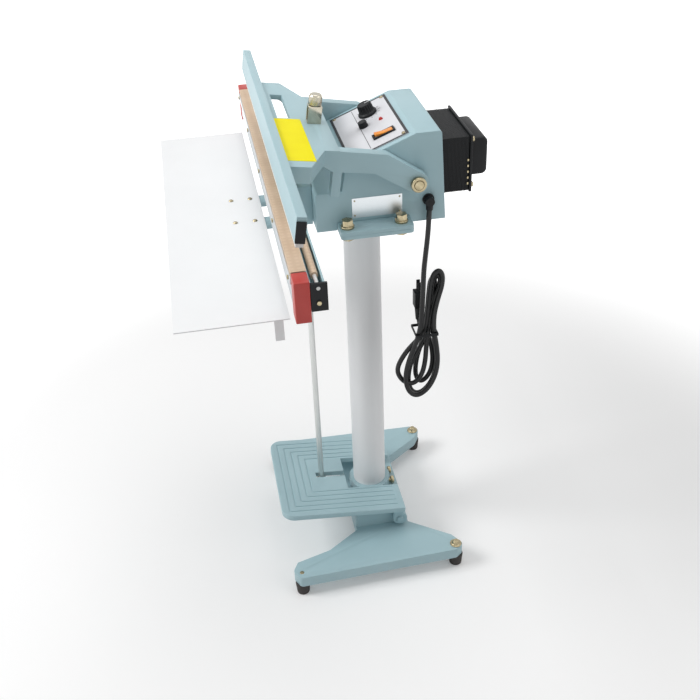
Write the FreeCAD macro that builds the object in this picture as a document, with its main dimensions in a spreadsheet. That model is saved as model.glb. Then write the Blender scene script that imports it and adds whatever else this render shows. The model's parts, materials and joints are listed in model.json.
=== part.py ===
import FreeCAD, Part
import math
import os
import re
import Sketcher

# A foot-pedal impulse heat sealer: a cast base and column carry a head with a fixed lower jaw and a
# hinged arm with the upper jaw. The pedal pulls the arm shut through a rod.
# X runs along the jaws, the operator stands at -Y, +Z is up. Sizes are millimetres, and the names
# that end in _y are measured from the column's axis.

doc = FreeCAD.newDocument("pedal_heat_sealer")
dims = doc.addObject("Spreadsheet::Sheet", "dims")
dims.Label = "driving dimensions"

sizes = {
    # base, feet and column
    "foot_radius": 13,
    "foot_height": 24,
    "foot_screw_radius": 4,
    "front_foot_x": 178,
    "front_foot_y": 158,
    "rear_foot_x": 168,
    "rear_foot_y": 124,
    "wing_thick": 21,
    "wing_tip": 14,
    "waist_half": 95,
    "waist_front": 44,
    "waist_rear": 53,
    "saddle_half": 88,
    "saddle_height": 30,
    "hub_radius": 38,
    "hub_height": 45,
    "column_radius": 30,
    "column_wall": 3,
    "column_length": 626,
    "clamp_x": 14,
    "clamp_radius": 4,
    # pedal
    "axle_radius": 6,
    "axle_y": 37,
    "axle_height": 38,
    "pedal_half": 109,
    "pedal_reach": 218,
    "pedal_tail": 5,
    "pedal_thick": 10,
    "pedal_rise": 23.3,
    "pedal_tilt": 5.66,
    "pedal_corner": 22,
    "yoke_half": 43,
    "yoke_reach": 89,
    "rod_slot": 13,
    "rod_slot_reach": 143,
    "tread_pitch": 12,
    "tread_width": 2.4,
    "tread_depth": 1.2,
    "ear_inner": 90,
    "ear_thick": 10,
    "ear_radius": 13,
    # mount plates and housing
    "plate_margin": 17,
    "plate_front": 53,
    "plate_rear": 57,
    "plate_thick": 6,
    "bolt_offset": 18,
    "plate_bolt_y": 40.7,
    "plate_bolt_radius": 5,
    "housing_half": 95,
    "housing_wall": 3,
    "ledge_front": 84,
    "ledge_height": 49.5,
    "slope_front": 38,
    "slope_foot": 86.5,
    "slope_back": 68,
    "slope_top": 128,
    "housing_rear": 113,
    "housing_lean": 7,
    "board_half": 45,
    "board_depth": 40,
    "board_lift": 12,
    "board_thick": 1.6,
    "post_spot": 30,
    "nameplate_low": 5.5,
    "nameplate_high": 37,
    # control panel
    "panel_half": 85,
    "panel_low": 9,
    "panel_high": 105,
    "panel_thick": 1.5,
    "timer_x": 42,
    "timer_up": 67,
    "knob_radius": 15,
    "knob_height": 18,
    "shaft_radius": 3,
    "fuse_x": 4,
    "fuse_up": 52,
    "fuse_radius": 7.5,
    "switch_x": 50,
    "switch_up": 73,
    "rocker_length": 28,
    "rocker_width": 10,
    "rocker_tilt": 8,
    "lamp_up": 80,
    "lamp_radius": 3.5,
    # transformer
    "core_half": 62,
    "core_length": 44,
    "core_low": 14.5,
    "core_height": 86,
    "coil_half": 48,
    "coil_length": 29,
    "coil_height": 60,
    "transformer_gap": 1,
    # hinged arm
    "pivot_y": 65.6,
    "pivot_height": 58.8,
    "pivot_radius": 7,
    "open_angle": 8.5,
    "arm_gap": 2,
    "arm_thick": 18,
    "arm_end_radius": 16,
    "tongue_half": 178,
    "tongue_thick": 8,
    "tongue_skirt": 24,
    "tongue_rear": 55,
    "pin_radius": 4,
    "pin_y": -96.3,
    "pin_drop": 25.7,
    "rod_radius": 5,
    "eye_radius": 9,
    "eye_half": 5.2,
    "label_left": 8,
    "label_right": 157,
    "label_depth": 40,
    "jaw_bolt_inner": 65,
    "jaw_bolt_outer": 150,
    # jaws
    "seal_height": 67,
    "jaw_y": -142.5,
    "upper_half": 343.5,
    "upper_width": 13,
    "upper_height": 35,
    "rubber_height": 5.7,
    "rubber_width": 10,
    "lower_half": 349,
    "lower_width": 19,
    "lower_height": 47,
    "cap_length": 27.5,
    "cap_height": 57.8,
    "element_width": 7,
    "element_thick": 1,
    "cloth_thick": 0.7,
    "beam_width": 20,
    "beam_height": 28,
    "beam_wall": 2.5,
    "beam_lift": 30.5,
    "roll_inset": 29,
    "roll_radius": 5,
    "core_radius": 2.5,
    "end_plate": 4,
    "carrier_inner": 20,
    "carrier_width": 40,
    "carrier_drop": 9,
    # work table
    "table_half": 333,
    "table_front": 305,
    "table_rear": 156,
    "table_thick": 1.5,
    "table_drop": 7.5,
    "bracket_thick": 8,
    # power cord
    "gland_lift": 23,
    "gland_inset": 27,
    "boot_length": 14,
    "cord_sink": 6,
    "cord_radius": 4,
    "running_gap": 0.05,
    "clear_gap": 0.3,
}

for line, (alias, number) in enumerate(sizes.items(), 1):
    dims.set(f"A{line}", alias)
    dims.set(f"B{line}", str(number))
    dims.setAlias(f"B{line}", alias)
doc.recompute()

# Formulas that several pieces share
wing_top = "(foot_height + wing_thick)"
saddle_top = f"({wing_top} + saddle_height)"
hub_top = f"({wing_top} + hub_height)"
axle_z = "(foot_height + axle_height)"
column_foot = "(foot_height + wing_thick / 2)"
column_top = f"({column_foot} + column_length)"
plate_top = f"({column_top} + 2 * plate_thick)"
pivot_z = f"({plate_top} + pivot_height)"
seal_z = f"({plate_top} + seal_height)"
slope_rise = "(slope_top - slope_foot)"
slope_run = "(slope_back + slope_front)"
slope_angle = f"atan({slope_rise} / {slope_run})"
jaw_rear = "(jaw_y + upper_width / 2)"
jaw_front = "(jaw_y - upper_width / 2)"
beam_front = "(jaw_y + lower_width / 2)"
beam_rear = f"({beam_front} + beam_width)"
core_front = "(housing_rear + transformer_gap)"
flange_front = f"({core_front} + core_length)"
coil_front = f"({flange_front} + 4)"
coil_rear = f"({coil_front} + coil_length)"
centre_shift = f"((table_front - {coil_rear}) / 2)"
tongue_top = f"({seal_z} + rubber_height + upper_height - 4)"
tongue_low = f"({tongue_top} - tongue_thick)"
skirt_low = f"({tongue_top} - tongue_skirt)"
pin_z = f"({tongue_top} - pin_drop)"
table_top = f"({plate_top} - table_drop)"
plate_bolt_x = "(housing_half + bolt_offset)"
plate_half = f"({plate_bolt_x} + plate_margin)"
arm_inner = "(housing_half + arm_gap)"
arm_outer = f"({arm_inner} + arm_thick)"
beam_half = "(lower_half + cap_length - end_plate)"
gland_y = "(housing_rear - gland_inset)"
gland_z = f"({plate_top} + gland_lift)"
cord_turn_x = "(housing_half + 2 * cord_radius)"
open_cos = "cos(open_angle * 1 deg)"
open_sin = "sin(open_angle * 1 deg)"
pin_open_y = f"(pivot_y + (pin_y - pivot_y) * {open_cos} + ({pin_z} - {pivot_z}) * {open_sin})"
pin_open_z = f"({pivot_z} - (pin_y - pivot_y) * {open_sin} + ({pin_z} - {pivot_z}) * {open_cos})"

sizeWord = re.compile(r"[a-z][a-z_0-9]*")


def bound(text):
    return sizeWord.sub(lambda m: "dims." + m.group() if m.group() in sizes else m.group(), str(text))


def bind(piece, prop, text):
    piece.setExpression(prop, bound(text))


def value(text):
    found = dims.evalExpression(bound(text))
    return float(getattr(found, "Value", found))


def place(piece, x, y, z):
    for axis, text in (("x", x), ("y", y), ("z", z)):
        bind(piece, "Placement.Base." + axis, text)


def box(label, xs, ys, zs):
    piece = doc.addObject("Part::Box", label)
    for prop, (low, high) in (("Length", xs), ("Width", ys), ("Height", zs)):
        bind(piece, prop, f"({high}) - ({low})")
    place(piece, xs[0], ys[0], zs[0])
    return piece


def rod(label, axis, middle, radius, span, top_radius=None):
    # A round bar, or a cone where a second radius is given. The middle is given across the axis.
    piece = doc.addObject("Part::Cylinder" if top_radius is None else "Part::Cone", label)
    turns = {"x": ((0, 1, 0), 90), "y": ((1, 0, 0), -90), "z": ((0, 0, 1), 0)}
    across, degrees = turns[axis]
    turn = FreeCAD.Rotation(FreeCAD.Vector(*across), degrees)
    piece.Placement = FreeCAD.Placement(FreeCAD.Vector(), turn)
    if top_radius is None:
        bind(piece, "Radius", radius)
    else:
        bind(piece, "Radius1", radius)
        bind(piece, "Radius2", top_radius)
    bind(piece, "Height", f"({span[1]}) - ({span[0]})")
    corner = list(middle)
    corner.insert("xyz".index(axis), span[0])
    place(piece, *corner)
    return piece


def hexagon(label, middle, radius, span):
    piece = doc.addObject("Part::Prism", label)
    piece.Polygon = 6
    bind(piece, "Circumradius", radius)
    bind(piece, "Height", f"({span[1]}) - ({span[0]})")
    place(piece, middle[0], middle[1], span[0])
    return piece


def prism(label, axis, points, span, corner=None, rounded=None):
    # A padded outline, drawn across the axis. Its long edges take the corner radius, all of them or
    # those that start at the outline's points listed in rounded.
    body = doc.addObject("PartDesign::Body", label)
    sketch = body.newObject("Sketcher::SketchObject", label + "_outline")
    role = {"x": "YZ_Plane", "z": "XY_Plane"}[axis]
    plane = [feature for feature in body.Origin.OriginFeatures if feature.Role == role][0]
    sketch.AttachmentSupport = [(plane, "")]
    sketch.MapMode = "FlatFace"
    bind(sketch, "AttachmentOffset.Base.z", span[0])
    corners = [FreeCAD.Vector(value(across), value(along), 0) for across, along in points]
    count = len(points)
    for side in range(count):
        sketch.addGeometry(Part.LineSegment(corners[side], corners[(side + 1) % count]))
    for side in range(count):
        sketch.addConstraint(Sketcher.Constraint("Coincident", side, 2, (side + 1) % count, 1))
    for side, point in enumerate(points):
        for kind, text in zip(("DistanceX", "DistanceY"), point):
            index = sketch.addConstraint(Sketcher.Constraint(kind, -1, 1, side, 1, value(text)))
            sketch.setExpression(f"Constraints[{index}]", bound(text))
    pad = body.newObject("PartDesign::Pad", label + "_pad")
    pad.Profile = sketch
    bind(pad, "Length", f"({span[1]}) - ({span[0]})")
    if corner is None:
        return body
    doc.recompute()
    chosen = [corners[index] for index in (rounded or range(count))]
    names = []
    for index, edge in enumerate(pad.Shape.Edges, 1):
        start, end = (vertex.Point for vertex in (edge.Vertexes[0], edge.Vertexes[-1]))
        flat = (start.y, start.z) if axis == "x" else (start.x, start.y)
        along = abs(end.x - start.x) if axis == "x" else abs(end.z - start.z)
        near = any(math.hypot(flat[0] - spot.x, flat[1] - spot.y) < 0.001 for spot in chosen)
        if near and along > 0.001:
            names.append(f"Edge{index}")
    fillet = body.newObject("PartDesign::Fillet", label + "_fillet")
    fillet.Base = (pad, names)
    bind(fillet, "Radius", corner)
    return body


def fuse(label, pieces):
    joined = doc.addObject("Part::MultiFuse", label)
    joined.Shapes = pieces
    joined.Refine = True
    return joined


def cut(label, base, tools):
    piece = doc.addObject("Part::Cut", label)
    piece.Base = base
    piece.Tool = tools[0] if len(tools) == 1 else fuse(label + "_tools", tools)
    return piece


# Where each group of pieces is carried: its place, and its turn about X
seats = {
    "stand": ("0", "0", "0"),
    "pedal": ("axle_y", axle_z, "-pedal_tilt"),
    "panel": ("-slope_front", f"{plate_top} + slope_foot", slope_angle + " / (1 deg)"),
    "rocker": (
        f"-slope_front + switch_up * cos({slope_angle}) - panel_thick * sin({slope_angle})",
        f"{plate_top} + slope_foot + switch_up * sin({slope_angle}) + panel_thick * cos({slope_angle})",
        slope_angle + " / (1 deg) - rocker_tilt",
    ),
    "arm": ("pivot_y", pivot_z, "-open_angle"),
    "rod": (pin_open_y, pin_open_z, "0"),
}
nodes = []


def node(label, solids, seat="stand"):
    group = doc.addObject("Part::Compound", label)
    group.Label = label
    group.Links = solids
    along, height, turn = seats[seat]
    start = FreeCAD.Rotation(FreeCAD.Vector(1, 0, 0), value(turn))
    group.Placement = FreeCAD.Placement(FreeCAD.Vector(), start)
    if turn != "0":
        bind(group, "Placement.Rotation.Angle", turn)
    place(group, "0", f"{along} + {centre_shift}", height)
    nodes.append(group)
    return group


def both(half):
    return (half, f"-({half})")


def sides(inner, outer):
    # The right and left spans of a piece and its mirror image
    return ((inner, outer), (f"-({outer})", f"-({inner})"))


# Base, feet and column
def make_base():
    right = [
        ("waist_half", "-waist_front"),
        ("front_foot_x - 43", "-front_foot_y + 57"),
        ("front_foot_x - 25", "-front_foot_y - 4"),
        ("front_foot_x - 6", "-front_foot_y - wing_tip"),
        ("front_foot_x + wing_tip", "-front_foot_y - 4"),
        ("rear_foot_x + wing_tip", "rear_foot_y - 2"),
        ("rear_foot_x + 2", "rear_foot_y + wing_tip"),
        ("rear_foot_x - 24", "rear_foot_y - 2"),
        ("waist_half - 2", "waist_rear"),
    ]
    left = [(f"-({across})", along) for across, along in reversed(right)]
    tips = (3, 4, 5, 6, 11, 12, 13, 14)
    wings = prism("base_wings", "z", right + left, ("foot_height", wing_top), "8", tips)
    saddle_points = [
        ("-saddle_half", "-waist_front"),
        ("saddle_half", "-waist_front"),
        ("saddle_half", "waist_rear - 3"),
        ("-saddle_half", "waist_rear - 3"),
    ]
    saddle = prism("base_saddle", "z", saddle_points, (wing_top, saddle_top), "6")
    hub = rod("base_hub", "z", ("0", "0"), "hub_radius", (wing_top, hub_top))
    casting = fuse("base_block", [wings, saddle, hub])
    socket = rod("base_socket", "z", ("0", "0"), "column_radius", (column_foot, f"{hub_top} + 1"))
    bore = rod("base_axle_bore", "x", ("axle_y", axle_z), "axle_radius",
               ("-saddle_half - 1", "saddle_half + 1"))
    holes = [socket, bore]
    for index, across in enumerate(both("clamp_x")):
        holes.append(rod(f"base_clamp_hole{index}", "y", (across, f"{hub_top} - 7"), "clamp_radius",
                         ("column_radius - 6", "hub_radius + 1")))
    feet = [(x, "-front_foot_y") for x in both("front_foot_x")]
    feet += [(x, "rear_foot_y") for x in both("rear_foot_x")]
    for index, spot in enumerate(feet):
        holes.append(rod(f"base_foot_hole{index}", "z", spot, "foot_screw_radius",
                         ("foot_height - 1", f"{wing_top} + 1")))
    node("base_casting", [cut("base_cast", casting, holes)])
    pads = []
    screws = []
    for index, spot in enumerate(feet):
        pad = rod(f"foot_pad{index}", "z", spot, "foot_radius - 2", ("0", "foot_height"), "foot_radius")
        hole = rod(f"foot_bore{index}", "z", spot, "foot_screw_radius", ("6", "foot_height + 1"))
        pads.append(cut(f"foot_shape{index}", pad, [hole]))
        shank = rod(f"foot_shank{index}", "z", spot, "foot_screw_radius", ("6", wing_top))
        if index < 2:
            screws.append(shank)
            continue
        washer_top = f"({wing_top} + 2)"
        washer = rod(f"foot_washer{index}", "z", spot, "2.6 * foot_screw_radius", (wing_top, washer_top))
        head = rod(f"foot_head{index}", "z", spot, "1.9 * foot_screw_radius",
                   (washer_top, f"{washer_top} + 6"), "1.2 * foot_screw_radius")
        screws.append(fuse(f"foot_screw{index}", [shank, washer, head]))
    node("rubber_feet", pads)
    node("foot_screws", screws)
    tube = rod("column_outside", "z", ("0", "0"), "column_radius", (column_foot, column_top))
    inside = rod("column_inside", "z", ("0", "0"), "column_radius - column_wall",
                 (f"{column_foot} - 1", f"{column_top} + 1"))
    node("column_tube", [cut("column_pipe", tube, [inside])])
    clamps = []
    for index, across in enumerate(both("clamp_x")):
        height = f"{hub_top} - 7"
        near_edge = "(clamp_x - clamp_radius)"
        tip = f"sqrt(column_radius * column_radius - {near_edge} * {near_edge}) + clear_gap"
        shank = rod(f"clamp_shank{index}", "y", (across, height), "clamp_radius", (tip, "hub_radius + 4"))
        head = rod(f"clamp_head{index}", "y", (across, height), "1.7 * clamp_radius",
                   ("hub_radius", "hub_radius + 6"))
        clamps.append(fuse(f"clamp_bolt{index}", [shank, head]))
    node("column_clamp_bolts", clamps)
    node("pedal_axle", [rod("axle_bar", "x", ("axle_y", axle_z), "axle_radius",
                            ("-ear_inner - ear_thick - 4", "ear_inner + ear_thick + 4"))])


make_base()


# Foot pedal, drawn about its axle with the tread level
def make_pedal():
    front = "-pedal_reach"
    outline = [
        ("pedal_half", front),
        ("pedal_half", "pedal_tail"),
        ("yoke_half", "pedal_tail"),
        ("yoke_half", "-yoke_reach"),
        ("rod_slot / 2", "-yoke_reach"),
        ("rod_slot / 2", "-rod_slot_reach"),
    ]
    mirror = [(f"-({across})", along) for across, along in reversed(outline)]
    top = "(pedal_rise + pedal_thick)"
    tread = prism("pedal_tread", "z", outline + mirror, ("pedal_rise", top), "pedal_corner", (0, 11))
    grooves = []
    for ring in range(5):
        inset = f"({ring} * tread_pitch + tread_pitch)"
        floor = f"{top} - tread_depth"
        near = f"(-pedal_reach + {inset})"
        edge = f"(pedal_half - {inset})"
        for index, span in enumerate(sides(f"{edge} - tread_width", edge)):
            grooves.append(box(f"tread_side{ring}_{index}", span, (near, "pedal_tail - tread_pitch"),
                               (floor, f"{top} + 1")))
        grooves.append(box(f"tread_front{ring}", (f"-{edge}", edge),
                           (near, f"{near} + tread_width"), (floor, f"{top} + 1")))
    grooved = cut("pedal_grooved", tread, grooves)
    ears = []
    for index, span in enumerate(sides("ear_inner", "ear_inner + ear_thick")):
        ears.append(box(f"pedal_cheek{index}", span, ("-ear_radius", "pedal_tail"), ("0", "pedal_rise")))
        ears.append(rod(f"pedal_lug{index}", "x", ("0", "0"), "ear_radius", span))
    bores = [rod("pedal_bore", "x", ("0", "0"), "axle_radius + running_gap", ("-pedal_half", "pedal_half"))]
    node("foot_pedal", [cut("pedal_casting", fuse("pedal_block", [grooved] + ears), bores)], "pedal")


make_pedal()


# Plates, housing and what is inside it
def make_housing():
    low_plate = (column_top, f"{column_top} + plate_thick")
    high_plate = (f"{column_top} + plate_thick", plate_top)
    outline = [
        (plate_half, "-plate_front"),
        (plate_half, "plate_rear"),
        (f"-{plate_half}", "plate_rear"),
        (f"-{plate_half}", "-plate_front"),
    ]
    board_low = f"({plate_top} + board_lift)"
    spots = [(x, y) for x in both(plate_bolt_x) for y in both("plate_bolt_y")]
    board_spots = [(x, y) for x in both("post_spot") for y in both("post_spot")]
    for label, span in (("column_flange", low_plate), ("housing_base_plate", high_plate)):
        plate = prism(label + "_plate", "z", outline, span, "6")
        through = (f"{span[0]} - 1", f"{span[1]} + 1")
        holes = [rod(f"{label}_hole{index}", "z", spot, "plate_bolt_radius", through)
                 for index, spot in enumerate(spots)]
        drilled = cut(label + "_drilled", plate, holes)
        posts = [rod(f"board_post{index}", "z", spot, "3", (plate_top, board_low))
                 for index, spot in enumerate(board_spots) if label == "housing_base_plate"]
        node(label, [fuse(label + "_shape", [drilled] + posts) if posts else drilled])
    hex_radius = "1.75 * plate_bolt_radius"
    bolts = []
    for index, spot in enumerate(spots):
        washer_top = f"({plate_top} + 4)"
        shank = rod(f"plate_shank{index}", "z", spot, "plate_bolt_radius", (f"{column_top} - 8", f"{washer_top} + 4"))
        washer = rod(f"plate_washer{index}", "z", spot, "2 * plate_bolt_radius", (plate_top, washer_top))
        head = hexagon(f"plate_head{index}", spot, hex_radius, (washer_top, f"{washer_top} + 9"))
        nut = hexagon(f"plate_nut{index}", spot, hex_radius, (f"{column_top} - 7", column_top))
        bolts.append(fuse(f"plate_bolt{index}", [shank, washer, head, nut]))
    node("mount_bolts", bolts)
    outside = [
        ("-ledge_front", column_top),
        ("housing_rear", column_top),
        ("housing_rear - housing_lean", f"{plate_top} + slope_top"),
        ("slope_back", f"{plate_top} + slope_top"),
        ("-slope_front", f"{plate_top} + slope_foot"),
        ("-slope_front - 6", f"{plate_top} + ledge_height"),
        ("-ledge_front", f"{plate_top} + ledge_height"),
    ]
    inside = [
        ("-ledge_front + housing_wall", f"{column_top} - 1"),
        ("housing_rear - housing_wall", f"{column_top} - 1"),
        ("housing_rear - housing_lean - housing_wall", f"{plate_top} + slope_top - housing_wall"),
        ("slope_back + 1", f"{plate_top} + slope_top - housing_wall"),
        ("-slope_front + housing_wall", f"{plate_top} + slope_foot - housing_wall + 1"),
        ("-slope_front - 6 + housing_wall", f"{plate_top} + ledge_height - housing_wall"),
        ("-ledge_front + housing_wall", f"{plate_top} + ledge_height - housing_wall"),
    ]
    shell = prism("housing_outside", "x", outside, ("-housing_half", "housing_half"), "5", (2, 3, 4, 6))
    hollow = prism("housing_inside", "x", inside, ("-housing_half + housing_wall", "housing_half - housing_wall"))
    across = ("-housing_half - 1", "housing_half + 1")
    bore = rod("housing_pivot_bore", "x", ("pivot_y", pivot_z), "pivot_radius", across)
    inlet = rod("housing_cord_hole", "x", (gland_y, gland_z), "cord_radius + 3",
                ("housing_half - housing_wall - 1", "housing_half + 1"))
    notch = box("housing_plate_notch", across, ("-plate_front - clear_gap", "plate_rear + clear_gap"),
                (f"{column_top} - 1", plate_top))
    node("housing_shell", [cut("housing_case", shell, [hollow, bore, inlet, notch])])
    node("pivot_shaft", [rod("pivot_bar", "x", ("pivot_y", pivot_z), "pivot_radius",
                             (f"-{arm_outer} - 9", f"{arm_outer} + 9"))])
    nuts = []
    for index, (low, high) in enumerate(sides(f"{arm_outer} + 1", f"{arm_outer} + 8")):
        nut = rod(f"pivot_nut_body{index}", "x", ("pivot_y", pivot_z), "1.65 * pivot_radius", (low, high))
        hole = rod(f"pivot_nut_hole{index}", "x", ("pivot_y", pivot_z), "pivot_radius",
                   (f"{low} - 1", f"{high} + 1"))
        nuts.append(cut(f"pivot_nut{index}", nut, [hole]))
    node("pivot_nuts", nuts)
    board_top = f"({board_low} + board_thick)"
    node("circuit_board", [box("board_sheet", ("-board_half", "board_half"), ("-board_depth", "board_depth"),
                               (board_low, board_top))])
    node("control_relay", [box("relay_case", ("-12", "12"), ("-20", "12"), (board_top, f"{board_top} + 22"))])
    node("micro_switch", [box("switch_case", ("housing_half - housing_wall - 12", "housing_half - housing_wall"),
                              ("-60", "-32"), (plate_top, f"{plate_top} + 24"))])
    plate = box("nameplate_sheet", ("housing_half", "housing_half + 0.8"), ("-30", "46"),
                (f"{plate_top} + nameplate_low", f"{plate_top} + nameplate_high"))
    node("nameplate", [plate])


make_housing()


# Control panel, drawn on the sloping face: local Y climbs the slope and local Z stands off it
def make_panel():
    spots = {
        "timer": ("-timer_x", "timer_up", "shaft_radius + 1.5"),
        "fuse": ("-fuse_x", "fuse_up", "fuse_radius - 2"),
        "lamp": ("-2", "lamp_up", "lamp_radius - 1"),
    }
    sheet = box("panel_sheet", ("-panel_half", "panel_half"), ("panel_low", "panel_high"), ("0", "panel_thick"))
    holes = [rod(f"panel_{name}_hole", "z", spot[:2], spot[2], ("-1", "panel_thick + 1"))
             for name, spot in spots.items()]
    half = "(rocker_length / 2 + 2)"
    wide = "(rocker_width / 2 + 1.2)"
    holes.append(box("panel_switch_hole", (f"switch_x - {wide}", f"switch_x + {wide}"),
                     (f"switch_up - {half}", f"switch_up + {half}"), ("-1", "panel_thick + 1")))
    node("control_panel", [cut("panel_plate", sheet, holes)], "panel")
    screws = []
    corners = [(x, y) for x in both("panel_half - 7") for y in ("panel_low + 7", "panel_high - 7")]
    for index, spot in enumerate(corners):
        screws.append(rod(f"panel_screw{index}", "z", spot, "3.2", ("panel_thick", "panel_thick + 1.8"), "2.2"))
    node("panel_screws", screws, "panel")
    pot = fuse("timer_body", [
        rod("timer_bar", "z", ("-timer_x", "timer_up"), "shaft_radius", ("0", "panel_thick + 12")),
        rod("timer_neck", "z", ("-timer_x", "timer_up"), "shaft_radius + 1.5", ("0", "panel_thick")),
    ])
    node("timer_spindle", [pot], "panel")
    skirt_low = "panel_thick + clear_gap"
    skirt = rod("knob_skirt", "z", ("-timer_x", "timer_up"), "knob_radius", (skirt_low, f"{skirt_low} + 4"))
    grip = rod("knob_grip", "z", ("-timer_x", "timer_up"), "0.8 * knob_radius",
               (skirt_low, f"{skirt_low} + knob_height"), "0.72 * knob_radius")
    knob_bore = rod("knob_bore", "z", ("-timer_x", "timer_up"), "shaft_radius + running_gap",
                    ("0", "panel_thick + 12 + clear_gap"))
    node("timer_knob", [cut("knob_shape", fuse("knob_block", [skirt, grip]), [knob_bore])], "panel")
    fuse_body = fuse("fuse_shape", [
        rod("fuse_barrel", "z", ("-fuse_x", "fuse_up"), "fuse_radius - 2", ("0", "panel_thick")),
        rod("fuse_cap", "z", ("-fuse_x", "fuse_up"), "fuse_radius", ("panel_thick", "panel_thick + 9"),
            "0.9 * fuse_radius"),
    ])
    node("fuse_holder", [fuse_body], "panel")
    lamp = fuse("lamp_shape", [
        rod("lamp_stem", "z", ("-2", "lamp_up"), "lamp_radius - 1", ("0", "panel_thick")),
        rod("lamp_lens", "z", ("-2", "lamp_up"), "lamp_radius", ("panel_thick", "panel_thick + 3"),
            "0.6 * lamp_radius"),
    ])
    node("indicator_lamp", [lamp], "panel")
    bezel = box("bezel_block", (f"switch_x - {wide} - 1.6", f"switch_x + {wide} + 1.6"),
                (f"switch_up - {half} - 1.6", f"switch_up + {half} + 1.6"), ("panel_thick", "panel_thick + 2.5"))
    gap = "(rocker_width / 2 + clear_gap)"
    window = box("bezel_window", (f"switch_x - {gap}", f"switch_x + {gap}"),
                 (f"switch_up - {half} + 1", f"switch_up + {half} - 1"), ("0", "panel_thick + 4"))
    node("switch_bezel", [cut("bezel_frame", bezel, [window])], "panel")
    rocker = prism("rocker_shape", "x", [("-rocker_length / 2", "1.2"), ("-rocker_length / 2 + 3", "0.6"),
                                         ("rocker_length / 2 - 3", "0.6"), ("rocker_length / 2", "1.2"),
                                         ("rocker_length / 2", "4.5"), ("0", "3.4"), ("-rocker_length / 2", "4.5")],
                   ("switch_x - rocker_width / 2", "switch_x + rocker_width / 2"))
    node("rocker_switch", [rocker], "rocker")


make_panel()


# Transformer on the back of the housing
def make_transformer():
    low = f"({plate_top} + core_low)"
    high = f"({low} + core_height)"
    lean = "housing_lean / (slope_top + 2 * plate_thick)"
    pad_low = f"({low} + 6)"
    pad_high = f"({high} - 6)"
    wedge = prism("transformer_pad_wedge", "x", [
        (f"housing_rear - ({pad_low} - {column_top}) * {lean}", pad_low),
        (core_front, pad_low),
        (core_front, pad_high),
        (f"housing_rear - ({pad_high} - {column_top}) * {lean}", pad_high),
    ], ("-core_half + 8", "core_half - 8"))
    node("transformer_pad", [wedge])
    core = box("core_stack", ("-core_half", "core_half"), (core_front, flange_front), (low, high))
    node("transformer_core", [core])
    node("transformer_flange", [box("flange_sheet", ("-core_half - 3", "core_half + 3"), (flange_front, coil_front),
                                    (f"{low} - 2", f"{high} + 4"))])
    middle = f"({low} + core_height / 2 + 4)"
    cover = prism("coil_block", "x", [
        (coil_front, f"{middle} - coil_height / 2"),
        (coil_rear, f"{middle} - coil_height / 2"),
        (coil_rear, f"{middle} + coil_height / 2"),
        (coil_front, f"{middle} + coil_height / 2"),
    ], ("-coil_half", "coil_half"), "9", (1, 2))
    node("transformer_coil", [cover])
    screws = []
    corners = [(x, z) for x in both("core_half - 5") for z in (f"{low} + 7", f"{high} - 6")]
    for index, corner in enumerate(corners):
        screws.append(rod(f"transformer_screw{index}", "y", corner, "4", (coil_front, f"{coil_front} + 4")))
    node("transformer_screws", screws)


make_transformer()


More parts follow.
